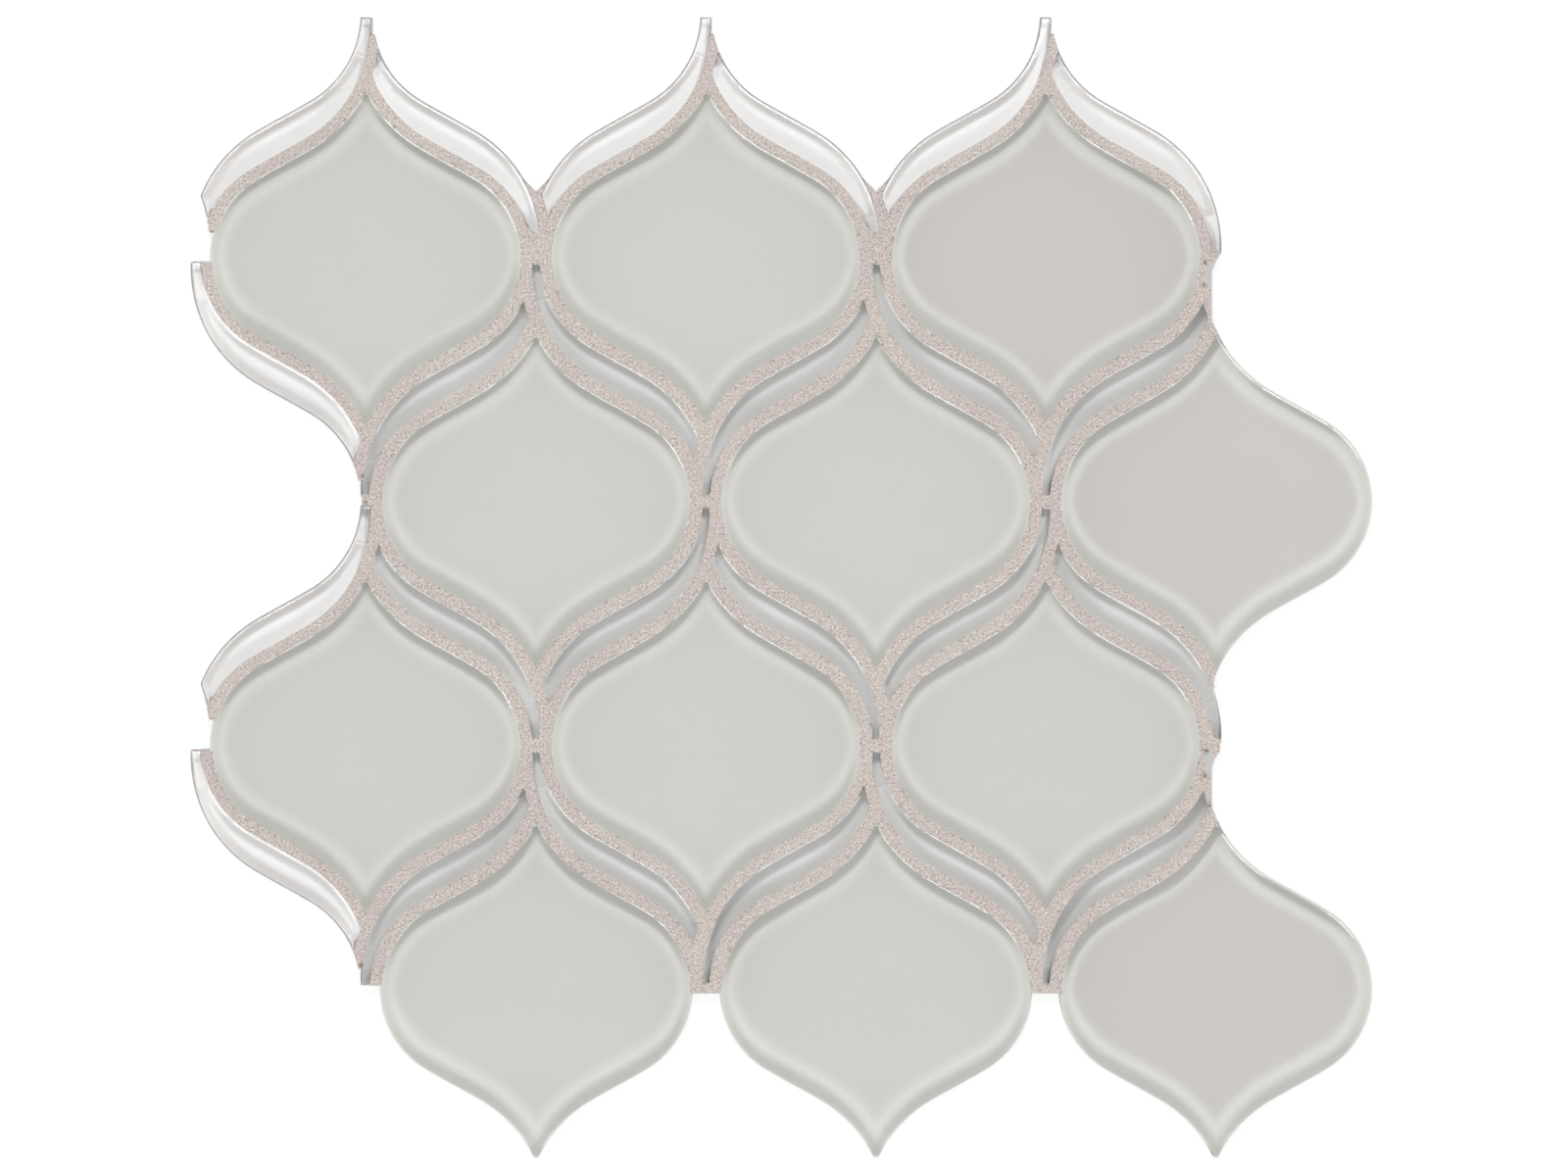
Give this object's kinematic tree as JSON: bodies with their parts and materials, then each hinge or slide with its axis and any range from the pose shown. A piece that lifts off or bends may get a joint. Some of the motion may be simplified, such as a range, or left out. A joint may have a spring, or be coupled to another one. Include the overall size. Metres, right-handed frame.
{
  "type": "moroccan arabesque tile",
  "caption": "Mosaic sheet of pale grey lantern-shaped glass tiles edged by slim S-shaped clear glass strips, set in pinkish beige grout on a mesh backing",
  "frame": {"origin": "middle of the underside of the mesh backing", "axes": "+X along the rows of lanterns, +Y from the bottom row to the top row, +Z out of the glass face"},
  "size_m": [0.299, 0.2896, 0.0084],
  "materials": {
    "lantern_glass": "polished",
    "strip_glass": "polished",
    "grout": "matte",
    "backing": "matte"
  },
  "bodies": {
    "root": {"lantern_r1_c1": "lantern_glass", "lantern_r1_c2": "lantern_glass", "lantern_r1_c3": "lantern_glass", "lantern_r2_c1": "lantern_glass", "lantern_r2_c2": "lantern_glass", "lantern_r2_c3": "lantern_glass", "lantern_r3_c1": "lantern_glass", "lantern_r3_c2": "lantern_glass", "lantern_r3_c3": "lantern_glass", "lantern_r4_c1": "lantern_glass", "lantern_r4_c2": "lantern_glass", "lantern_r4_c3": "lantern_glass", "strip_left_r1_c1": "strip_glass", "strip_left_r1_c2": "strip_glass", "strip_left_r1_c3": "strip_glass", "strip_left_r2_c1": "strip_glass", "strip_left_r2_c2": "strip_glass", "strip_left_r2_c3": "strip_glass", "strip_left_r3_c1": "strip_glass", "strip_left_r3_c2": "strip_glass", "strip_left_r3_c3": "strip_glass", "strip_left_r4_c1": "strip_glass", "strip_left_r4_c2": "strip_glass", "strip_left_r4_c3": "strip_glass", "strip_right_r1_c1": "strip_glass", "strip_right_r1_c2": "strip_glass", "strip_right_r1_c3": "strip_glass", "strip_right_r2_c0": "strip_glass", "strip_right_r2_c1": "strip_glass", "strip_right_r2_c2": "strip_glass", "strip_right_r3_c1": "strip_glass", "strip_right_r3_c2": "strip_glass", "strip_right_r3_c3": "strip_glass", "strip_right_r4_c0": "strip_glass", "strip_right_r4_c1": "strip_glass", "strip_right_r4_c2": "strip_glass", "grout": "grout", "mesh_backing": "backing"}
  },
  "joints": []
}
